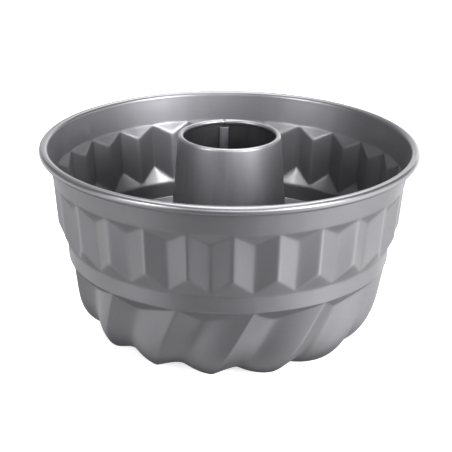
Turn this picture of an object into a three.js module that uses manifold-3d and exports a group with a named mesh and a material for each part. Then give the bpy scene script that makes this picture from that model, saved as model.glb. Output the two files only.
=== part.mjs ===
// Gugelhupf pan: a body pressed from one sheet, with a prism-faceted wall above swirling flutes,
// a rolled rim closed round a stiffening wire, and a lock-seamed centre tube held in the body's floor.
// Millimetres, +Z up, origin at the centre of the base. Azimuths run from the front (-Y) towards +X.

import * as THREE from 'three';
import Module from 'manifold-3d';
import { mergeVertices } from 'three/addons/utils/BufferGeometryUtils.js';

const { degToRad, lerp } = THREE.MathUtils;

// Driving dimensions shared by the pieces
const SHEET = 0.6;
const FIT_GAP = 0.3;

// Rolled rim
const RIM_RADIUS = 110;
const RIM_HEIGHT = 116;
const RIM_BEAD_DIAMETER = 5.3;
const RIM_CURL_SWEEP = degToRad(310);
const RIM_CURL_STEPS = 9;
const WIRE_SIDES = 10;

// Faceted wall between two plain bands, with a valley between each two ridges
const FACETS = 26;
const FIRST_VALLEY = degToRad(8.34);
const UPPER_BAND_RADIUS = 102.5;
const UPPER_BAND_FOOT = 97.8;
const VALLEY_TOP_RADIUS = 99;
const VALLEY_TOP_DROP = 6.5;
const RIDGE_FOOT_RADIUS = 100.3;
const RIDGE_FOOT_RISE = 8.9;
const LOWER_BAND_RADIUS = 95;
const LOWER_BAND_TOP = 61.7;
const LOWER_BAND_HEIGHT = 13.2;
const LOWER_BAND_TAPER = 0.8;

// Flutes that swirl from the lower band round the bottom to the flange that holds the tube.
// A flute's bottom lies at a share of the way from one crest to the next.
const FLUTES = 14;
const FIRST_CREST = degToRad(8.7);
const FLUTE_DEPTH = 5.5;
const FLUTE_LEDGE = 6;
const FLUTE_LEDGE_AT_CREST = 0.15;
const FLUTE_SWIRL = degToRad(21.5);
const FLUTE_BOTTOM_AT_BAND = 0.42;
const FLUTE_BOTTOM_AT_FOOT = 0.46;
const STEEP_BULGE_AT_BAND = 0;
const STEEP_BULGE_AT_FOOT = -0.1;
const BROAD_BULGE_AT_BAND = 0.06;
const BROAD_BULGE_AT_FOOT = 0.24;
const KNUCKLE_RADIUS = 90;
const KNUCKLE_HEIGHT = 28;
const BEND_FULLNESS = 0.6;
const FOOT_RADIUS = 56.2;
const FOOT_LAND = 6;
const FOOT_FLAT = 1;
const FOOT_FLUTE_DEPTH = 4.5;
const FLANGE_RADIUS = 45;
const FLANGE_HEIGHT = 8.4;

// Centre tube, a cone with an inward curled lip
const TUBE_HEIGHT = 120.7;
const TUBE_TOP_RADIUS = 29.8;
const TUBE_TAPER = 0.076;
const TUBE_LIP_DIAMETER = 3;
const TUBE_LIP_SWEEP = degToRad(270);
const TUBE_LIP_STEPS = 9;
const TUBE_LOCK_BEAD_RADIUS = 2.2;
const TUBE_LOCK_BEAD_STEPS = 4;
const TUBE_FOOT_FLARE = 4;
const TUBE_SIDES = 40;
const SEAM_WIDTH = 5.5;
const SEAM_STEP = 1;
const SEAM_AZIMUTH = degToRad(186.7);

// Fineness of the body's skin: columns round it, and steps along a lobe's crest
const COLUMNS = 2 * FACETS;
const LOBE_COLUMNS = 8;
const STEEP_COLUMNS = 3;
const WALL_STEPS = 2;
const BEND_STEPS = 6;
const RISE_STEPS = 3;

// Sizes worked out from the driving dimensions
const curlRadius = RIM_BEAD_DIAMETER / 2 - SHEET;
const curlCentreRadius = RIM_RADIUS - RIM_BEAD_DIAMETER / 2;
const curlCentreHeight = RIM_HEIGHT - RIM_BEAD_DIAMETER / 2;
const tubeRadius = (height) => TUBE_TOP_RADIUS + TUBE_TAPER * (TUBE_HEIGHT - height);
const neckRadius = tubeRadius(FLANGE_HEIGHT);
const holeRadius = neckRadius + FIT_GAP;
const lockBeadHeight = FLANGE_HEIGHT + SHEET + FIT_GAP + TUBE_LOCK_BEAD_RADIUS;

// A point at a radius, an azimuth and a height
function polar(radius, azimuth, height) {
  return new THREE.Vector3(radius * Math.sin(azimuth), -radius * Math.cos(azimuth), height);
}

// Round ring of points
function circle(count, radius, height) {
  const turn = (i) => FIRST_VALLEY + (i / count) * 2 * Math.PI;
  return Array.from({ length: count }, (_, i) => polar(radius, turn(i), height));
}

// Points of an arc in a profile, as [radius, height] pairs, both ends included
function arc(radius, height, size, from, to, steps) {
  return Array.from({ length: steps + 1 }, (_, i) => {
    const angle = lerp(from, to, i / steps);
    return [radius + size * Math.cos(angle), height + size * Math.sin(angle)];
  });
}

// Even steps past one value up to another
function steps(from, to, count) {
  return Array.from({ length: count }, (_, i) => lerp(from, to, (i + 1) / count));
}

// Open skin through rings listed from the top edge to the bottom edge. Two neighbouring rings are
// walked round together, whatever their counts. Where they share a point, the strip between them closes.
function skin(rings) {
  const numbers = new Map();
  const positions = [];
  const triangles = [];
  const number = (point) => {
    if (!numbers.has(point)) {
      numbers.set(point, numbers.size);
      positions.push(point.x, point.y, point.z);
    }
    return numbers.get(point);
  };
  const face = (...corners) => {
    const indices = corners.map(number);
    if (new Set(indices).size === 3) triangles.push(...indices);
  };
  for (let row = 1; row < rings.length; row += 1) {
    const upper = rings[row - 1];
    const lower = rings[row];
    let i = 0;
    let j = 0;
    while (i < upper.length || j < lower.length) {
      const here = upper[i % upper.length];
      const below = lower[j % lower.length];
      if ((i + 1) / upper.length < (j + 1) / lower.length) {
        i += 1;
        face(here, below, upper[i % upper.length]);
      } else {
        j += 1;
        face(here, below, lower[j % lower.length]);
      }
    }
  }
  const geometry = new THREE.BufferGeometry();
  geometry.setAttribute('position', new THREE.Float32BufferAttribute(positions, 3));
  geometry.setIndex(triangles);
  geometry.computeVertexNormals();
  return geometry;
}

// Sheet of even thickness behind a skin, closed along the skin's open edges
function shell(outer, thickness) {
  const outside = outer.getAttribute('position');
  const normals = outer.getAttribute('normal').array;
  const index = outer.getIndex().array;
  const positions = Array.from(outside.array);
  outside.array.forEach((value, i) => positions.push(value - normals[i] * thickness));
  const inside = (corner) => corner + outside.count;
  const edges = new Map();
  const triangles = [];
  for (let i = 0; i < index.length; i += 3) {
    const [a, b, c] = index.slice(i, i + 3);
    triangles.push(a, b, c, inside(a), inside(c), inside(b));
    [[a, b], [b, c], [c, a]].forEach(([from, to]) => edges.set(`${from} ${to}`, [from, to]));
  }
  for (const [from, to] of edges.values()) {
    if (edges.has(`${to} ${from}`)) continue;
    triangles.push(to, from, inside(from), to, inside(from), inside(to));
  }
  const geometry = new THREE.BufferGeometry();
  geometry.setAttribute('position', new THREE.Float32BufferAttribute(positions, 3));
  geometry.setIndex(triangles);
  geometry.computeVertexNormals();
  return geometry;
}

// Rolled rim, from its tucked-in edge round the outside and over the top to the wall
function rimRings() {
  const turned = Math.PI - RIM_CURL_SWEEP;
  const profile = arc(curlCentreRadius, curlCentreHeight, curlRadius, turned, Math.PI, RIM_CURL_STEPS);
  return profile.map(([radius, height]) => circle(COLUMNS, radius, height));
}

// Faceted wall: valleys stand on the even columns and ridges on the odd ones. A ridge starts at
// the upper band and a valley ends at the lower one, so each leaves a triangle beside the other.
function facetRings() {
  const bandFoot = circle(COLUMNS, UPPER_BAND_RADIUS, UPPER_BAND_FOOT);
  const valleyTop = circle(COLUMNS, VALLEY_TOP_RADIUS, UPPER_BAND_FOOT - VALLEY_TOP_DROP);
  const ridgeFoot = circle(COLUMNS, RIDGE_FOOT_RADIUS, LOWER_BAND_TOP + RIDGE_FOOT_RISE);
  const bandTop = circle(COLUMNS, LOWER_BAND_RADIUS, LOWER_BAND_TOP);
  const isRidge = (i) => i % 2 === 1;
  const upperEdge = bandFoot.map((point, i) => (isRidge(i) ? point : valleyTop[i]));
  const lowerEdge = bandTop.map((point, i) => (isRidge(i) ? ridgeFoot[i] : point));
  return [bandFoot, upperEdge, lowerEdge, bandTop];
}

// Outline of a lobe along its crest: down the wall, round the bend to the foot's land,
// up the rise beside the tube and in along the flange to the hole
const bandFoot = new THREE.Vector2(LOWER_BAND_RADIUS - LOWER_BAND_TAPER, LOWER_BAND_TOP - LOWER_BAND_HEIGHT);
const knuckle = new THREE.Vector2(KNUCKLE_RADIUS, KNUCKLE_HEIGHT);
const landOuter = new THREE.Vector2(FOOT_RADIUS + FOOT_LAND / 2, -FOOT_FLAT);
const landInner = new THREE.Vector2(FOOT_RADIUS - FOOT_LAND / 2, -FOOT_FLAT);
const flangeOuter = new THREE.Vector2(FLANGE_RADIUS, FLANGE_HEIGHT);
const flangeInner = new THREE.Vector2(holeRadius, FLANGE_HEIGHT);
const wallDirection = knuckle.clone().sub(bandFoot).normalize();
const bendHandle = knuckle.clone().addScaledVector(wallDirection, KNUCKLE_HEIGHT * BEND_FULLNESS);
const landHandle = new THREE.Vector2((landOuter.x + knuckle.x) / 2, landOuter.y);
const riseMiddle = (landInner.x + flangeOuter.x) / 2;
const riseHandle = new THREE.Vector2(riseMiddle, landInner.y);
const flangeHandle = new THREE.Vector2(riseMiddle, flangeOuter.y);
const crest = new THREE.CurvePath();
crest.add(new THREE.LineCurve(bandFoot, knuckle));
crest.add(new THREE.CubicBezierCurve(knuckle, bendHandle, landHandle, landOuter));
crest.add(new THREE.LineCurve(landOuter, landInner));
crest.add(new THREE.CubicBezierCurve(landInner, riseHandle, flangeHandle, flangeOuter));
crest.add(new THREE.LineCurve(flangeOuter, flangeInner));
const [wallEnd, bendEnd, landEnd, riseEnd, flangeEnd] = crest.getCurveLengths();

// Depth of the flutes at a length along the crest, square to it
function fluteDepth(length) {
  if (length < FLUTE_LEDGE) return 0;
  if (length < bendEnd) return lerp(FLUTE_DEPTH, FOOT_FLUTE_DEPTH, length / bendEnd);
  const faded = THREE.MathUtils.clamp((length - landEnd) / (riseEnd - landEnd), 0, 1);
  return FOOT_FLUTE_DEPTH * (1 - faded);
}

// Place of a column between two crests, and its share of the flute's depth. A flute has a steep side
// and a broad side, which grow rounder towards the foot.
function lobeColumn(column, fall) {
  const bottom = lerp(FLUTE_BOTTOM_AT_BAND, FLUTE_BOTTOM_AT_FOOT, fall);
  const steep = column <= STEEP_COLUMNS;
  const share = steep ? column / STEEP_COLUMNS : (LOBE_COLUMNS - column) / (LOBE_COLUMNS - STEEP_COLUMNS);
  const steepBulge = lerp(STEEP_BULGE_AT_BAND, STEEP_BULGE_AT_FOOT, fall);
  const broadBulge = lerp(BROAD_BULGE_AT_BAND, BROAD_BULGE_AT_FOOT, fall);
  const bulge = steep ? steepBulge : broadBulge;
  return {
    turn: steep ? share * bottom : 1 - share * (1 - bottom),
    share: share - 4 * bulge * share * (1 - share),
  };
}

// Ring across all lobes at a length along the crest. Lobes are pressed flat where the pan stands.
function fluteRing(length) {
  return Array.from({ length: FLUTES * LOBE_COLUMNS }, (_, i) => {
    const fall = Math.min(1, length / landEnd);
    const { turn, share } = lobeColumn(i % LOBE_COLUMNS, fall);
    const place = length > FLUTE_LEDGE ? length : length * lerp(FLUTE_LEDGE_AT_CREST, 1, share);
    const point = crest.getPoint(place / flangeEnd);
    const along = crest.getTangent(place / flangeEnd);
    const depth = fluteDepth(length) * share;
    const lobe = Math.floor(i / LOBE_COLUMNS);
    const azimuth = FIRST_CREST + ((lobe + turn) / FLUTES) * 2 * Math.PI - (place / landEnd) * FLUTE_SWIRL;
    return polar(point.x + along.y * depth, azimuth, Math.max(0, point.y - along.x * depth));
  });
}

function fluteRings() {
  const places = [
    0,
    FLUTE_LEDGE,
    ...steps(FLUTE_LEDGE, wallEnd, WALL_STEPS),
    ...steps(wallEnd, bendEnd, BEND_STEPS),
    landEnd,
    ...steps(landEnd, riseEnd, RISE_STEPS),
    flangeEnd,
  ];
  return places.map(fluteRing);
}

function panBody() {
  return shell(skin([...rimRings(), ...facetRings(), ...fluteRings()]), SHEET);
}

// Tube wall from the tip of its lip over the top, down the cone, round the bead that sits on the
// body's flange, through the hole and out under the flange
function tubeWall() {
  const lip = TUBE_LIP_DIAMETER / 2;
  const profile = [
    ...arc(TUBE_TOP_RADIUS - lip, TUBE_HEIGHT - lip, lip, TUBE_LIP_SWEEP, 0, TUBE_LIP_STEPS),
    ...arc(neckRadius, lockBeadHeight, TUBE_LOCK_BEAD_RADIUS, Math.PI / 2, -Math.PI / 2, TUBE_LOCK_BEAD_STEPS),
    [neckRadius, FLANGE_HEIGHT - FIT_GAP],
    [neckRadius + TUBE_FOOT_FLARE, FLANGE_HEIGHT - FIT_GAP],
  ];
  return shell(skin(profile.map(([radius, height]) => circle(TUBE_SIDES, radius, height))), SHEET);
}

// Folded lock seam, a bar along the inside of the tube from the lock bead to just under the lip
function seamBar() {
  const bottom = lockBeadHeight + TUBE_LOCK_BEAD_RADIUS;
  const top = TUBE_HEIGHT - TUBE_LIP_DIAMETER - FIT_GAP;
  const middle = (top + bottom) / 2;
  const depth = SEAM_STEP + SHEET / 2;
  const geometry = new THREE.BoxGeometry(SEAM_WIDTH, depth, Math.hypot(1, TUBE_TAPER) * (top - bottom));
  geometry.rotateX(-Math.atan(TUBE_TAPER));
  geometry.translate(0, SHEET / 2 + depth / 2 - tubeRadius(middle), middle);
  geometry.rotateZ(SEAM_AZIMUTH);
  return geometry;
}

// Wire that stiffens the rim, inside the curl
function rimWire() {
  const geometry = new THREE.TorusGeometry(curlCentreRadius, curlRadius - FIT_GAP, WIRE_SIDES, COLUMNS);
  geometry.rotateZ(FIRST_VALLEY - Math.PI / 2);
  geometry.translate(0, 0, curlCentreHeight);
  return geometry;
}

const wasm = await Module();
wasm.setup();

function solid(geometry) {
  geometry.deleteAttribute('normal');
  geometry.deleteAttribute('uv');
  const merged = mergeVertices(geometry);
  return new wasm.Manifold(new wasm.Mesh({
    numProp: 3,
    vertProperties: merged.getAttribute('position').array,
    triVerts: Uint32Array.from(merged.getIndex().array),
  }));
}

function joined(first, second) {
  const mesh = solid(first).add(solid(second)).getMesh();
  const geometry = new THREE.BufferGeometry();
  geometry.setAttribute('position', new THREE.BufferAttribute(mesh.vertProperties, 3));
  geometry.setIndex(new THREE.BufferAttribute(mesh.triVerts, 1));
  geometry.computeVertexNormals();
  return geometry;
}

function piece(name, geometry, color, roughness, metalness) {
  const mesh = new THREE.Mesh(geometry, new THREE.MeshStandardMaterial({ color, roughness, metalness }));
  mesh.name = name;
  return mesh;
}

const pan = new THREE.Group();
pan.add(piece('pan_body', panBody(), 0x77787a, 0.38, 0.7));
pan.add(piece('centre_tube', joined(tubeWall(), seamBar()), 0x77787a, 0.38, 0.7));
pan.add(piece('rim_wire', rimWire(), 0xa9abae, 0.35, 1));

export default pan;
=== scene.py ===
# Gugelhupf pan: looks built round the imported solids. Metres, +Z up, origin at the centre of the base.
from bisect import bisect
from math import atan2, cos, pi, radians, sin

import bmesh
import bpy
from mathutils import Matrix, Vector


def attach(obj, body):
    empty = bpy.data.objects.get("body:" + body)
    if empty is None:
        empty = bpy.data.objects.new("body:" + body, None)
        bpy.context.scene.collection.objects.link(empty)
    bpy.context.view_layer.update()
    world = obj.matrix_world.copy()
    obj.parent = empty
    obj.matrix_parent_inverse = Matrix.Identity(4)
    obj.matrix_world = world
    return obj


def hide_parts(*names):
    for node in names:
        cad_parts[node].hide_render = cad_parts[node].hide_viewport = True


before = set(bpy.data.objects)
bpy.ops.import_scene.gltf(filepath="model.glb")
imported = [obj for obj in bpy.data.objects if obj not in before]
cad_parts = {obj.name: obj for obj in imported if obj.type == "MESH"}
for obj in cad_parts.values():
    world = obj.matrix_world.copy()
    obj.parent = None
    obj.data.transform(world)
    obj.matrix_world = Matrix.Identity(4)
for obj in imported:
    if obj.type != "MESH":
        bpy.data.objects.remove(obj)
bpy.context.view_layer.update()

MM = 0.001
SHEET = 0.6 * MM

# Camera, fitted to the rim, facets and tube of the photograph
FOCAL_PIXELS = 1396.88
PHOTO_PIXELS = 452
SENSOR_MM = 36.0
NEAR_CLIP = 10.0 * MM
CAMERA_DISTANCE = 828.95 * MM
CAMERA_ELEVATION = radians(21.32)
CAMERA_ROLL = radians(-0.75)
CAMERA_AIM = Vector((-1.44 * MM, 0.0, 63.34 * MM))

# Pressed body. Its lower band, flutes and bend lie up to 1 mm off the solid, closer to the photograph
RIM_RADIUS = 110.0 * MM
RIM_HEIGHT = 116.0 * MM
BEAD_DIAMETER = 5.3 * MM
CURL_SWEEP = radians(310)
FACETS = 26
FIRST_VALLEY = radians(8.34)
UPPER_BAND_RADIUS = 102.5 * MM
UPPER_BAND_FOOT = 97.8 * MM
RIDGE_TOP_DROP = 0.5 * MM
VALLEY_TOP_RADIUS = 99.0 * MM
VALLEY_TOP_DROP = 6.5 * MM
VALLEY_FOOT_RADIUS = 95.5 * MM
VALLEY_FOOT_RISE = 1.4 * MM
RIDGE_FOOT_RADIUS = 100.3 * MM
RIDGE_FOOT_RISE = 10.9 * MM
LOWER_BAND_RADIUS = 95.0 * MM
LOWER_BAND_TOP = 59.7 * MM
LOWER_BAND_HEIGHT = 9.8 * MM
LOWER_BAND_TAPER = 0.6 * MM

# Flutes. A flute's bottom lies at a share of the way from one crest to the next, and the bulges of its
# two sides are shares of its depth, at the band and at the foot
FLUTES = 14
FIRST_CREST = radians(9.1)
FLUTE_DEPTH = 5.5 * MM
FLUTE_LEDGE = 8.5 * MM
FLUTE_LEDGE_AT_CREST = 0.1
FLUTE_SWIRL = radians(21.9)
FLUTE_BOTTOM_AT_BAND = 0.42
FLUTE_BOTTOM_AT_FOOT = 0.46
STEEP_BULGE = (0.0, -0.1)
BROAD_BULGE = (0.06, 0.24)
VALLEY_ROUNDING = 0.3
KNUCKLE_RADIUS = 90.0 * MM
KNUCKLE_HEIGHT = 28.0 * MM
BEND_FULLNESS = 0.75
FOOT_RADIUS = 56.2 * MM
FOOT_LAND = 6.0 * MM
FOOT_FLAT = 1.0 * MM
FOOT_FLUTE_DEPTH = 4.5 * MM
FLANGE_RADIUS = 45.0 * MM
FLANGE_HEIGHT = 8.4 * MM

# Centre tube
TUBE_HEIGHT = 120.7 * MM
TUBE_TOP_RADIUS = 29.8 * MM
TUBE_TAPER = 0.076
LIP_DIAMETER = 3.0 * MM
LIP_SWEEP = radians(270)
LIP_JOINT_WIDTH = 0.7 * MM
LIP_JOINT_DEPTH = 0.7 * MM
LIP_LAP = 0.35 * MM
LIP_LAP_FADE = radians(50)
LOCK_BEAD_RADIUS = 2.2 * MM
FIT_GAP = 0.3 * MM
TUBE_FOOT_FLARE = 4.0 * MM
SEAM_WIDTH = 5.5 * MM
SEAM_STEP = 1.0 * MM
SEAM_EDGE = 0.35 * MM
SEAM_EDGE_SEGMENTS = 3
SEAM_AZIMUTH = radians(186.7)
SEAM_TOP_DROP = 2.0 * MM

# Columns round the body: 14 to each facet and 26 to each flute meet in the plain band between them
FACET_HALF_COLUMNS = 7
FLUTE_STEEP_COLUMNS = 11
FLUTE_BROAD_COLUMNS = 15
FLUTE_COLUMNS = FLUTE_STEEP_COLUMNS + FLUTE_BROAD_COLUMNS
BODY_COLUMNS = FLUTES * FLUTE_COLUMNS
TUBE_COLUMNS = 180
CREASE_CROWDING = 0.8

# Rows down the body and the tube, as counts of steps or as shares of a stretch
CURL_STEPS = 18
UPPER_BAND_STEPS = (0.08, 0.2, 0.35, 0.55, 0.75, 0.88, 0.95, 0.98)
FACET_STEPS = (
    0, 0.1, 0.3, 0.6, 0.85,
    1, 1.02, 1.05, 1.1, 1.2, 1.35, 1.5, 1.65, 1.8, 1.9, 1.95, 1.98,
    2, 2.12, 2.35, 2.65, 2.88, 3,
)
LOWER_BAND_STEPS = (0.03, 0.08, 0.2, 0.4, 0.6, 0.8, 0.92, 0.97)
LEDGE_STEPS = (0, 0.05, 0.12, 0.28, 0.5, 0.72, 0.87, 0.95, 1, 1.05, 1.12, 1.25, 1.6, 2)
WALL_STEPS = 5
BEND_STEPS = 18
LAND_STEPS = 2
RISE_STEPS = 8
FLANGE_STEPS = 3
TUBE_WALL_STEPS = 12
LOCK_BEAD_STEPS = 10

# Points along the straight and the curved stretches of a crest, which its length is measured by
LINE_POINTS = 10
WALL_POINTS = 40
BEND_POINTS = 80
RISE_POINTS = 40

# Rounding of the creases, and how close two points count as one
CREASE_ROUNDS = 5
CREASE_EASE = 0.5
MERGE_DISTANCE = 0.002 * MM

# Sizes worked out from the ones above
CURL_RADIUS = BEAD_DIAMETER / 2 - SHEET
CURL_CENTRE = Vector((RIM_RADIUS - BEAD_DIAMETER / 2, RIM_HEIGHT - BEAD_DIAMETER / 2))
BAND_FOOT = Vector((LOWER_BAND_RADIUS - LOWER_BAND_TAPER, LOWER_BAND_TOP - LOWER_BAND_HEIGHT))
NECK_RADIUS = TUBE_TOP_RADIUS + TUBE_TAPER * (TUBE_HEIGHT - FLANGE_HEIGHT)
LOCK_BEAD_HEIGHT = FLANGE_HEIGHT + SHEET + FIT_GAP + LOCK_BEAD_RADIUS

# Coatings: greys, the strength of upright streaks, and the sheen. The tube's and the seam's greys are
# lighter copies of the coating, painted light, and the bore's is a darker copy, painted shade
BODY_GREY = (0.15, 0.148, 0.159)
TUBE_GREY_PAINTED_LIGHTER = (0.2, 0.198, 0.212)
BORE_GREY_PAINTED_SHADE = (0.085, 0.084, 0.09)
SEAM_GREY_PAINTED_LIGHT = (0.24, 0.237, 0.254)
BODY_STREAKS = 0.0
TUBE_STREAKS = 0.06
BORE_STREAKS = 0.1
SEAM_STREAKS = 0.25
COATING_METALLIC = 0.9
CLEAR_COAT = 0.45
CLEAR_COAT_ROUGHNESS = 0.1
STEEL_GREY = (0.56, 0.57, 0.58, 1)

# Noise textures, as (scale, detail, lowest, highest), and the span of a noise that is used
NOISE_SPAN = (0.3, 0.7)
FLAKES = (2600.0, 2.0, 0.95, 1.05)
CLOUDS = (42.0, 3.0, 0.97, 1.03)
STREAKS = (260.0, 3.0, -1.0, 1.0)
STREAK_STRETCH = (1, 1, 0.12)
COATING_ROUGHNESS = (700.0, 3.0, 0.45, 0.51)
PEBBLES = (1500.0, 2.0, 0.0, 1.0)
PEBBLE_STRENGTH = 0.12
PEBBLE_HEIGHT = 0.02 * MM
WIRE_ROUGHNESS = (900.0, 2.0, 0.28, 0.4)

# Painted highlight on pressed edges and painted shade in creases, with smoother edges: where edges and
# creases start and end by their pointiness, and what it makes of them
EDGE_BEND = (0.506, 0.525)
EDGE_PAINTED_HIGHLIGHT = 1.3
EDGE_DULLNESS = 0.7
CREASE_BEND = (0.495, 0.48)
CREASE_PAINTED_SHADE = 0.8

# Floor of pale paper, with a shaded round under the pan
FLOOR_HALF_WIDTH = 6.0
FLOOR_GLOW = 0.55
PAPER_WHITE = (0.9, 0.9, 0.9, 1)
PAPER_GLOW_WHITE = (1, 1, 1, 1)
PAPER_ROUGHNESS = 0.9
SHADE_RADIUS = FOOT_RADIUS - FOOT_LAND
SHADE_SIDES = 96
SHADE_LIFT = 0.1 * MM

# Glows of light round the pan, as (azimuth from the front towards +X, elevation, strength): broad ones
# from the pale table and walls, narrow ones from the lamps, and two small bright lamps in front
TABLE_SHARPNESS = 20.0
TABLE_GLOWS = (
    (0, -88, 0.4), (0, -60, 0.3), (60, -60, 0.8), (240, -60, 0.1), (300, -60, 0.6),
    (36, -35, 0.85), (72, -35, 2.25), (108, -35, 1.1), (144, -35, 0.3),
    (252, -35, 0.7), (288, -35, 0.65),
    (60, -12, 2.3), (90, -12, 1.9), (120, -12, 1.35), (150, -12, 1.75),
    (210, -12, 1.2), (240, -12, 1.3), (270, -12, 0.8), (300, -12, 2.3),
)
LAMP_SHARPNESS = 40.0
LAMP_GLOWS = (
    (22, 8, 4.4), (68, 8, 0.75), (90, 8, 1.8), (112, 8, 1.0), (135, 8, 0.15),
    (157, 8, 1.75), (180, 8, 1.65),
    (0, 20, 5.6), (48, 20, 21.5), (61, 20, 1.95), (200, 20, 1.15), (308, 20, 8.95), (321, 20, 1.3),
    (157, 34, 2.45), (202, 34, 0.25), (240, 34, 0.85), (150, 60, 10.7), (210, 60, 2.5),
    (45, 75, 5.35), (225, 75, 7.5), (0, 80, 4.0),
)
SPOT_SHARPNESS = 200.0
SPOT_GLOWS = ((48, 26, 21.0), (312, 26, 17.0))


def mix(a, b, t):
    return a + (b - a) * t


def shares(steps):
    """Even shares of a stretch, from 0 up to its last step."""
    return [i / steps for i in range(steps)]


def crowded(t):
    """A share from 0 to 1, moved so that even steps crowd towards both ends, where the creases are."""
    return t - CREASE_CROWDING * sin(2 * pi * t) / (2 * pi)


def polar(radius, azimuth, height):
    """A point at a radius, an azimuth from the front towards +X, and a height."""
    return Vector((radius * sin(azimuth), -radius * cos(azimuth), height))


def bezier(a, b, c, d, t):
    s = 1 - t
    return a * s**3 + b * (3 * s * s * t) + c * (3 * s * t * t) + d * t**3


# Wall of the body


def crest_outline():
    """Outline of a lobe's crest as (radius, height) points, from the lower band to the tube's hole,
    with the length along it at each point and at the end of each stretch."""
    knuckle = Vector((KNUCKLE_RADIUS, KNUCKLE_HEIGHT))
    land_outer = Vector((FOOT_RADIUS + FOOT_LAND / 2, -FOOT_FLAT))
    land_inner = Vector((FOOT_RADIUS - FOOT_LAND / 2, -FOOT_FLAT))
    flange = Vector((FLANGE_RADIUS, FLANGE_HEIGHT))
    hole = Vector((NECK_RADIUS + FIT_GAP, FLANGE_HEIGHT))
    wall_direction = (knuckle - BAND_FOOT).normalized()
    bend_handle = knuckle + wall_direction * (KNUCKLE_HEIGHT * BEND_FULLNESS)
    land_handle = Vector(((land_outer.x + knuckle.x) / 2, land_outer.y))
    rise_middle = (land_inner.x + flange.x) / 2
    rise_handle = Vector((rise_middle, land_inner.y))
    flange_handle = Vector((rise_middle, flange.y))
    stretches = [
        [BAND_FOOT.lerp(knuckle, t) for t in shares(WALL_POINTS)],
        [bezier(knuckle, bend_handle, land_handle, land_outer, t) for t in shares(BEND_POINTS)],
        [land_outer.lerp(land_inner, t) for t in shares(LINE_POINTS)],
        [bezier(land_inner, rise_handle, flange_handle, flange, t) for t in shares(RISE_POINTS)],
        [flange.lerp(hole, t) for t in shares(LINE_POINTS)] + [hole],
    ]
    points = []
    lengths = []
    ends = []
    for stretch in stretches:
        for point in stretch:
            lengths.append(lengths[-1] + (point - points[-1]).length if points else 0.0)
            points.append(point)
        ends.append(len(points))
    return points, lengths, [lengths[min(end, len(points) - 1)] for end in ends]


CREST, CREST_LENGTHS, (WALL_END, BEND_END, LAND_END, RISE_END, FLANGE_END) = crest_outline()


def on_crest(length):
    """Point and direction on the crest's outline at a length along it."""
    i = min(max(bisect(CREST_LENGTHS, length) - 1, 0), len(CREST) - 2)
    a, b = CREST[i], CREST[i + 1]
    t = (length - CREST_LENGTHS[i]) / (CREST_LENGTHS[i + 1] - CREST_LENGTHS[i])
    return a.lerp(b, t), (b - a).normalized()


def flute_depth(length):
    """Depth of the flutes at a length along the crest: it grows over the ledge and fades in the rise."""
    if length < BEND_END:
        depth = mix(FLUTE_DEPTH, FOOT_FLUTE_DEPTH, length / BEND_END)
        return depth * min(1.0, length / FLUTE_LEDGE)
    faded = min(1.0, max(0.0, (length - LAND_END) / (RISE_END - LAND_END)))
    return FOOT_FLUTE_DEPTH * (1 - faded)


def valley_rounded(share):
    """A share of the flute's depth, from 0 at the crest to 1 in the valley, with the valley rounded."""
    short = 1 - share
    if short < VALLEY_ROUNDING:
        short = (short**2 + VALLEY_ROUNDING**2) / (2 * VALLEY_ROUNDING)
    return (1 - short) / (1 - VALLEY_ROUNDING / 2)


def flute_point(column, length):
    """Point of the fluted wall in a column, at a length along the crest's outline."""
    flute, step = divmod(column, FLUTE_COLUMNS)
    fall = min(1.0, length / LAND_END)
    bottom = mix(FLUTE_BOTTOM_AT_BAND, FLUTE_BOTTOM_AT_FOOT, fall)
    if step <= FLUTE_STEEP_COLUMNS:
        share = crowded(step / FLUTE_STEEP_COLUMNS)
        turn = share * bottom
        bulge = mix(*STEEP_BULGE, fall)
    else:
        share = crowded((FLUTE_COLUMNS - step) / FLUTE_BROAD_COLUMNS)
        turn = 1 - share * (1 - bottom)
        bulge = mix(*BROAD_BULGE, fall)
    share = valley_rounded(share - 4 * bulge * share * (1 - share))
    drop = mix(FLUTE_LEDGE_AT_CREST, 1.0, share)
    catch_up = min(1.0, max(0.0, length / FLUTE_LEDGE - 1))
    place = length - min(length, FLUTE_LEDGE) * (1 - drop) * (1 - catch_up)
    point, along = on_crest(place)
    depth = flute_depth(length) * share
    azimuth = FIRST_CREST + (flute + turn) / FLUTES * 2 * pi - (place / LAND_END) * FLUTE_SWIRL
    return polar(point.x + along.y * depth, azimuth, max(0.0, point.y - along.x * depth))


def facet_azimuth(column):
    half, step = divmod(column, FACET_HALF_COLUMNS)
    return FIRST_VALLEY + (half + crowded(step / FACET_HALF_COLUMNS)) / FACETS * pi


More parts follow.
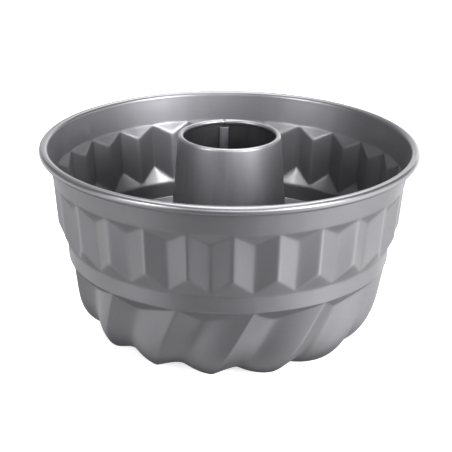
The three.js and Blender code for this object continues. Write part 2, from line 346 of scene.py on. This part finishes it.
def facet_point(column, row):
    """Point of the faceted wall in a column. Rows 0 to 1 are the triangles under the upper band,
    1 to 2 the facets and 2 to 3 the triangles over the lower band. Even halves run from a valley
    to a ridge."""
    half, step = divmod(column, FACET_HALF_COLUMNS)
    t = crowded(step / FACET_HALF_COLUMNS)
    rising = half % 2 == 0
    valley = FIRST_VALLEY + (half if rising else half + 1) / FACETS * pi
    ridge = FIRST_VALLEY + (half + 1 if rising else half) / FACETS * pi
    to_valley = 1 - t if rising else t
    ridge_top = polar(UPPER_BAND_RADIUS, ridge, UPPER_BAND_FOOT - RIDGE_TOP_DROP)
    valley_top = polar(VALLEY_TOP_RADIUS, valley, UPPER_BAND_FOOT - VALLEY_TOP_DROP)
    ridge_foot = polar(RIDGE_FOOT_RADIUS, ridge, LOWER_BAND_TOP + RIDGE_FOOT_RISE)
    valley_foot = polar(VALLEY_FOOT_RADIUS, valley, LOWER_BAND_TOP + VALLEY_FOOT_RISE)
    upper = ridge_top.lerp(valley_top, to_valley)
    lower = ridge_foot.lerp(valley_foot, to_valley)
    azimuth = facet_azimuth(column)
    if row <= 1:
        return polar(UPPER_BAND_RADIUS, azimuth, UPPER_BAND_FOOT).lerp(upper, row)
    if row <= 2:
        return upper.lerp(lower, row - 1)
    return lower.lerp(polar(LOWER_BAND_RADIUS, azimuth, LOWER_BAND_TOP), row - 2)


def band_azimuth(column, t):
    """Azimuth of a column in the plain band, between its place among the facets and among the flutes."""
    foot = flute_point(column, 0.0)
    turn = atan2(foot.x, -foot.y) - facet_azimuth(column)
    turn -= 2 * pi * round(turn / (2 * pi))
    return facet_azimuth(column) + turn * t


def body_rows():
    """Rows of the body's outer face from the tucked-in edge of the rim to the hole, each a function
    of the column."""
    rows = []
    for i in range(CURL_STEPS + 1):
        angle = pi - CURL_SWEEP * (1 - i / CURL_STEPS)
        r = CURL_CENTRE.x + CURL_RADIUS * cos(angle)
        z = CURL_CENTRE.y + CURL_RADIUS * sin(angle)
        rows.append(lambda column, r=r, z=z: polar(r, facet_azimuth(column), z))
    for t in UPPER_BAND_STEPS:
        r = mix(CURL_CENTRE.x - CURL_RADIUS, UPPER_BAND_RADIUS, t)
        z = mix(CURL_CENTRE.y, UPPER_BAND_FOOT, t)
        rows.append(lambda column, r=r, z=z: polar(r, facet_azimuth(column), z))
    for row in FACET_STEPS:
        rows.append(lambda column, row=row: facet_point(column, row))
    for t in LOWER_BAND_STEPS:
        r = mix(LOWER_BAND_RADIUS, BAND_FOOT.x, t)
        z = mix(LOWER_BAND_TOP, BAND_FOOT.y, t)
        rows.append(lambda column, r=r, z=z, t=t: polar(r, band_azimuth(column, t), z))
    lengths = [share * FLUTE_LEDGE for share in LEDGE_STEPS]
    start = lengths[-1]
    stretches = (
        (WALL_END, WALL_STEPS), (BEND_END, BEND_STEPS), (LAND_END, LAND_STEPS),
        (RISE_END, RISE_STEPS), (FLANGE_END, FLANGE_STEPS),
    )
    for end, steps in stretches:
        lengths += [mix(start, end, (i + 1) / steps) for i in range(steps)]
        start = end
    for length in lengths:
        rows.append(lambda column, length=length: flute_point(column, length))
    return rows


# Meshes


def sheet_mesh(columns, rows):
    """Closed ring of faces through rows of points, each row a function of the column."""
    bm = bmesh.new()
    bmesh.ops.create_grid(bm, x_segments=columns, y_segments=len(rows) - 1, size=1.0)
    for v in bm.verts:
        column = round((v.co.x + 1) / 2 * columns)
        row = round((1 - v.co.y) / 2 * (len(rows) - 1))
        v.co = rows[row](column % columns)
    bmesh.ops.remove_doubles(bm, verts=bm.verts[:], dist=MERGE_DISTANCE)
    bmesh.ops.recalc_face_normals(bm, faces=bm.faces[:])
    return bm


def face_out(bm):
    """Turns the faces of an open sheet round the axis so that its wall, half way up, looks away from
    the axis."""
    bm.normal_update()
    heights = [v.co.z for v in bm.verts]
    middle = (min(heights) + max(heights)) / 2
    wall = min(bm.faces, key=lambda f: abs(f.calc_center_median().z - middle))
    if wall.normal.xy.dot(wall.calc_center_median().xy) < 0:
        bmesh.ops.reverse_faces(bm, faces=bm.faces[:])


def finish_mesh(bm, name, material):
    """Turns a bmesh into a smooth shaded piece of the pan."""
    mesh = bpy.data.meshes.new(name)
    for f in bm.faces:
        f.smooth = True
    bm.to_mesh(mesh)
    bm.free()
    mesh.materials.append(material)
    piece = bpy.data.objects.new(name, mesh)
    bpy.context.scene.collection.objects.link(piece)
    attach(piece, "root")
    return piece


def give_thickness(piece):
    """Gives a piece the sheet's thickness, inwards from its outer face."""
    wall = piece.modifiers.new("sheet", "SOLIDIFY")
    wall.thickness = SHEET
    wall.offset = -1
    return wall


def make_body(material):
    """Pressed body, with its creases rounded below the rolled rim."""
    bm = sheet_mesh(BODY_COLUMNS, body_rows())
    rim_foot = RIM_HEIGHT - BEAD_DIAMETER
    wall = [v for v in bm.verts if not v.is_boundary and v.co.z < rim_foot]
    for _ in range(CREASE_ROUNDS):
        bmesh.ops.smooth_vert(bm, verts=wall, factor=CREASE_EASE,
                              use_axis_x=True, use_axis_y=True, use_axis_z=True)
    face_out(bm)
    piece = finish_mesh(bm, "body_sheet", material)
    give_thickness(piece)
    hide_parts("pan_body")


def tube_radius(height):
    return TUBE_TOP_RADIUS + TUBE_TAPER * (TUBE_HEIGHT - height)


def tube_turn(column):
    """Turn of a column from the seam: the first lies in the joint of the lip, and the rest are even
    beside it."""
    if column == 0:
        return 0.0
    beside = LIP_JOINT_WIDTH / 2 / TUBE_TOP_RADIUS
    return mix(beside, 2 * pi - beside, (column - 1) / (TUBE_COLUMNS - 2))


def lip_point(column, angle):
    """Point of the tube's curled lip, which is sunk in its joint and laps outward beside it."""
    turn = tube_turn(column)
    lip = LIP_DIAMETER / 2
    if column == 0:
        size = lip - LIP_JOINT_DEPTH
        lap = 0.0
    else:
        size = lip
        lap = LIP_LAP * max(0.0, 1 - turn / LIP_LAP_FADE) ** 2
    radius = TUBE_TOP_RADIUS - lip + size * cos(angle) + lap
    return polar(radius, SEAM_AZIMUTH + turn, TUBE_HEIGHT - lip + size * sin(angle))


def tube_rows():
    """Rows of the tube's outer face from the tip of its lip down to its foot, each a function of
    the column."""
    rows = []
    for i in range(CURL_STEPS + 1):
        angle = LIP_SWEEP * (1 - i / CURL_STEPS)
        rows.append(lambda column, angle=angle: lip_point(column, angle))
    profile = []
    for t in shares(TUBE_WALL_STEPS):
        z = mix(TUBE_HEIGHT - LIP_DIAMETER, LOCK_BEAD_HEIGHT + LOCK_BEAD_RADIUS, t)
        profile.append((tube_radius(z), z))
    for i in range(LOCK_BEAD_STEPS + 1):
        angle = pi / 2 - pi * i / LOCK_BEAD_STEPS
        r = NECK_RADIUS + LOCK_BEAD_RADIUS * cos(angle)
        profile.append((r, LOCK_BEAD_HEIGHT + LOCK_BEAD_RADIUS * sin(angle)))
    profile.append((NECK_RADIUS, FLANGE_HEIGHT - FIT_GAP))
    profile.append((NECK_RADIUS + TUBE_FOOT_FLARE, FLANGE_HEIGHT - FIT_GAP))
    for r, z in profile:
        rows.append(lambda column, r=r, z=z: polar(r, SEAM_AZIMUTH + tube_turn(column), z))
    return rows


def make_tube(material, bore_painted_shade_material):
    """Rolled centre tube, with a darker copy of its coating in the bore as painted shade."""
    bm = sheet_mesh(TUBE_COLUMNS, tube_rows())
    face_out(bm)
    piece = finish_mesh(bm, "tube_sheet", material)
    piece.data.materials.append(bore_painted_shade_material)
    # The bore's faces take the second, darker material: painted shade.
    give_thickness(piece).material_offset = 1
    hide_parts("centre_tube")


def make_seam(material):
    """Folded lock seam, a bar up the inside of the tube."""
    bottom = LOCK_BEAD_HEIGHT + LOCK_BEAD_RADIUS
    top = TUBE_HEIGHT - LIP_DIAMETER - SEAM_TOP_DROP
    bm = bmesh.new()
    bmesh.ops.create_cube(bm, size=1.0)
    for v in bm.verts:
        z = top if v.co.z > 0 else bottom
        bore = tube_radius(z) - SHEET
        r = bore if v.co.y < 0 else bore - SEAM_STEP
        v.co = polar(r, SEAM_AZIMUTH + v.co.x * SEAM_WIDTH / bore, z)
    bmesh.ops.recalc_face_normals(bm, faces=bm.faces[:])
    bmesh.ops.bevel(bm, geom=bm.edges[:], offset=SEAM_EDGE, offset_type="OFFSET", affect="EDGES",
                    segments=SEAM_EDGE_SEGMENTS, profile=0.5, material=-1)
    finish_mesh(bm, "seam_strip", material)


# Materials


def new_material(name):
    """New material, with its node tree and its main shader."""
    material = bpy.data.materials.new(name)
    material.use_nodes = True
    return material, material.node_tree, material.node_tree.nodes["Principled BSDF"]


def work_out(tree, operation, *terms):
    """Math node over terms that are sockets or plain numbers."""
    node = tree.nodes.new("ShaderNodeMath")
    node.operation = operation
    for socket, term in zip(node.inputs, terms):
        if isinstance(term, bpy.types.NodeSocket):
            tree.links.new(term, socket)
        else:
            socket.default_value = term
    return node.outputs["Value"]


def ranged(tree, value, span, low, high):
    """A value over a span brought to the range from low to high, and held at its ends."""
    node = tree.nodes.new("ShaderNodeMapRange")
    start, end = span
    node.inputs["From Min"].default_value = start
    node.inputs["From Max"].default_value = end
    node.inputs["To Min"].default_value = low
    node.inputs["To Max"].default_value = high
    tree.links.new(value, node.inputs["Value"])
    return node.outputs["Result"]


def noise(tree, where, scale, detail, low, high):
    """Noise texture brought to a range."""
    texture = tree.nodes.new("ShaderNodeTexNoise")
    texture.inputs["Scale"].default_value = scale
    texture.inputs["Detail"].default_value = detail
    tree.links.new(where, texture.inputs["Vector"])
    return ranged(tree, texture.outputs["Fac"], NOISE_SPAN, low, high)


def make_grain():
    """Grain of the baked coating: a shade round 1, a roughness and a faintly pebbled normal. The shade
    has upright streaks, as where the sheet was rolled into a tube, of the strength that is put in."""
    group = bpy.data.node_groups.new("coating_grain", "ShaderNodeTree")
    group.interface.new_socket("Streaks", in_out="INPUT", socket_type="NodeSocketFloat")
    for name, kind in (("Shade", "Float"), ("Roughness", "Float"), ("Normal", "Vector")):
        group.interface.new_socket(name, in_out="OUTPUT", socket_type="NodeSocket" + kind)
    strength = group.nodes.new("NodeGroupInput").outputs["Streaks"]
    out = group.nodes.new("NodeGroupOutput")
    where = group.nodes.new("ShaderNodeTexCoord").outputs["Object"]
    stretched = group.nodes.new("ShaderNodeMapping")
    stretched.inputs["Scale"].default_value = STREAK_STRETCH
    group.links.new(where, stretched.inputs["Vector"])
    lines = noise(group, stretched.outputs["Vector"], *STREAKS)
    streak = work_out(group, "MULTIPLY_ADD", lines, strength, 1.0)
    flake = noise(group, where, *FLAKES)
    cloud = noise(group, where, *CLOUDS)
    mottle = work_out(group, "MULTIPLY", flake, cloud)
    group.links.new(work_out(group, "MULTIPLY", mottle, streak), out.inputs["Shade"])
    group.links.new(noise(group, where, *COATING_ROUGHNESS), out.inputs["Roughness"])
    bump = group.nodes.new("ShaderNodeBump")
    bump.inputs["Strength"].default_value = PEBBLE_STRENGTH
    bump.inputs["Distance"].default_value = PEBBLE_HEIGHT
    group.links.new(noise(group, where, *PEBBLES), bump.inputs["Height"])
    group.links.new(bump.outputs["Normal"], out.inputs["Normal"])
    return group


def make_painted_edge_light():
    """Painted light on the coating: a shade, lighter on pressed edges as a painted highlight and darker
    in creases as painted shade, and how rough the edges stay."""
    group = bpy.data.node_groups.new("painted_edge_highlight_and_crease_shade", "ShaderNodeTree")
    for name in ("Shade", "Dullness"):
        group.interface.new_socket(name, in_out="OUTPUT", socket_type="NodeSocketFloat")
    out = group.nodes.new("NodeGroupOutput")
    bend = group.nodes.new("ShaderNodeNewGeometry").outputs["Pointiness"]
    light = ranged(group, bend, EDGE_BEND, 1.0, EDGE_PAINTED_HIGHLIGHT)
    dark = ranged(group, bend, CREASE_BEND, 1.0, CREASE_PAINTED_SHADE)
    group.links.new(work_out(group, "MULTIPLY", light, dark), out.inputs["Shade"])
    group.links.new(ranged(group, bend, EDGE_BEND, 1.0, EDGE_DULLNESS), out.inputs["Dullness"])
    return group


def coated(name, grey, streaks, grain, painted_edge_light):
    """Baked grey non-stick coating with a metallic sheen, and upright streaks of a given strength."""
    material, tree, shader = new_material(name)
    shader.inputs["Metallic"].default_value = COATING_METALLIC
    shader.inputs["Coat Weight"].default_value = CLEAR_COAT
    shader.inputs["Coat Roughness"].default_value = CLEAR_COAT_ROUGHNESS
    finish = tree.nodes.new("ShaderNodeGroup")
    finish.node_tree = grain
    finish.inputs["Streaks"].default_value = streaks
    # The shade is lit up on pressed edges as a painted highlight and darkened in creases as painted
    # shade, by their pointiness.
    painted_edges = tree.nodes.new("ShaderNodeGroup")
    painted_edges.node_tree = painted_edge_light
    grain_and_painted_light = work_out(tree, "MULTIPLY", finish.outputs["Shade"], painted_edges.outputs["Shade"])
    dull = work_out(tree, "MULTIPLY", finish.outputs["Roughness"], painted_edges.outputs["Dullness"])
    tint = tree.nodes.new("ShaderNodeVectorMath")
    tint.operation = "SCALE"
    tint.inputs[0].default_value = grey
    tree.links.new(grain_and_painted_light, tint.inputs["Scale"])
    tree.links.new(tint.outputs["Vector"], shader.inputs["Base Color"])
    tree.links.new(dull, shader.inputs["Roughness"])
    tree.links.new(finish.outputs["Normal"], shader.inputs["Normal"])
    return material


def bare_steel(name):
    """Drawn steel wire."""
    material, tree, shader = new_material(name)
    shader.inputs["Base Color"].default_value = STEEL_GREY
    shader.inputs["Metallic"].default_value = 1.0
    where = tree.nodes.new("ShaderNodeTexCoord").outputs["Object"]
    tree.links.new(noise(tree, where, *WIRE_ROUGHNESS), shader.inputs["Roughness"])
    return material


# Studio


def make_surrounding():
    """Surrounding light, the sum of the glows."""
    world = bpy.data.worlds.new("studio")
    world.use_nodes = True
    tree = world.node_tree
    towards = tree.nodes.new("ShaderNodeTexCoord").outputs["Generated"]
    kinds = (
        (TABLE_SHARPNESS, TABLE_GLOWS), (LAMP_SHARPNESS, LAMP_GLOWS), (SPOT_SHARPNESS, SPOT_GLOWS),
    )
    total = 0.0
    for sharpness, glows in kinds:
        for azimuth, elevation, strength in glows:
            up = radians(elevation)
            near = tree.nodes.new("ShaderNodeVectorMath")
            near.operation = "DOT_PRODUCT"
            near.inputs[1].default_value = polar(cos(up), radians(azimuth), sin(up))
            tree.links.new(towards, near.inputs[0])
            spread = work_out(tree, "MULTIPLY_ADD", near.outputs["Value"], sharpness, -sharpness)
            glow = work_out(tree, "EXPONENT", spread)
            total = work_out(tree, "MULTIPLY_ADD", glow, strength, total)
    tree.links.new(total, tree.nodes["Background"].inputs["Color"])
    bpy.context.scene.world = world


def lay_paper(bm, name, material_name):
    """Turns a bmesh into a piece of pale paper, and gives its object and its shader."""
    mesh = bpy.data.meshes.new(name)
    bm.to_mesh(mesh)
    bm.free()
    material, _, shader = new_material(material_name)
    shader.inputs["Base Color"].default_value = PAPER_WHITE
    shader.inputs["Roughness"].default_value = PAPER_ROUGHNESS
    mesh.materials.append(material)
    paper = bpy.data.objects.new(name, mesh)
    bpy.context.scene.collection.objects.link(paper)
    return paper, shader


def make_floor():
    """Floor that glows a little, and neither shades the pan nor mirrors in it."""
    bm = bmesh.new()
    bmesh.ops.create_grid(bm, x_segments=1, y_segments=1, size=FLOOR_HALF_WIDTH)
    floor, shader = lay_paper(bm, "floor", "pale_paper")
    shader.inputs["Emission Color"].default_value = PAPER_GLOW_WHITE
    shader.inputs["Emission Strength"].default_value = FLOOR_GLOW
    floor.visible_glossy = False
    floor.visible_shadow = False


def make_floor_shade():
    """Shaded round of the floor inside the pan's foot, which keeps the table's light out of the tube."""
    bm = bmesh.new()
    bmesh.ops.create_circle(bm, cap_ends=True, segments=SHADE_SIDES, radius=SHADE_RADIUS)
    bmesh.ops.translate(bm, verts=bm.verts[:], vec=(0, 0, SHADE_LIFT))
    lay_paper(bm, "floor_shade", "shaded_paper")


def make_camera():
    """Camera at the photograph's angle, rolled a little as the photograph is."""
    forward = Vector((0, cos(CAMERA_ELEVATION), -sin(CAMERA_ELEVATION)))
    level_up = Vector((0, sin(CAMERA_ELEVATION), cos(CAMERA_ELEVATION)))
    level_right = Vector((1, 0, 0))
    right = level_right * cos(CAMERA_ROLL) - level_up * sin(CAMERA_ROLL)
    up = level_right * sin(CAMERA_ROLL) + level_up * cos(CAMERA_ROLL)
    data = bpy.data.cameras.new("camera")
    data.sensor_width = SENSOR_MM
    data.lens = FOCAL_PIXELS * SENSOR_MM / PHOTO_PIXELS
    data.clip_start = NEAR_CLIP
    camera = bpy.data.objects.new("camera", data)
    turn = Matrix((right, up, -forward)).transposed()
    place = Matrix.Translation(CAMERA_AIM - forward * CAMERA_DISTANCE)
    camera.matrix_world = place @ turn.to_4x4()
    bpy.context.scene.collection.objects.link(camera)
    bpy.context.scene.camera = camera


make_camera()
make_floor()
make_floor_shade()
make_surrounding()
bpy.context.scene.view_settings.view_transform = "Standard"
grain = make_grain()
painted_edge_light = make_painted_edge_light()
make_body(coated("body_coating", BODY_GREY, BODY_STREAKS, grain, painted_edge_light))
# The tube's coating is a lighter copy, painted light, and the bore's a darker copy, painted shade.
make_tube(
    coated("tube_coating", TUBE_GREY_PAINTED_LIGHTER, TUBE_STREAKS, grain, painted_edge_light),
    coated("bore_coating_painted_shade", BORE_GREY_PAINTED_SHADE, BORE_STREAKS, grain, painted_edge_light),
)
# The seam's coating is a lighter copy, painted light.
make_seam(coated("seam_coating_painted_light", SEAM_GREY_PAINTED_LIGHT, SEAM_STREAKS, grain, painted_edge_light))
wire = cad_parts["rim_wire"]
wire.data.materials.clear()
wire.data.materials.append(bare_steel("wire_steel"))
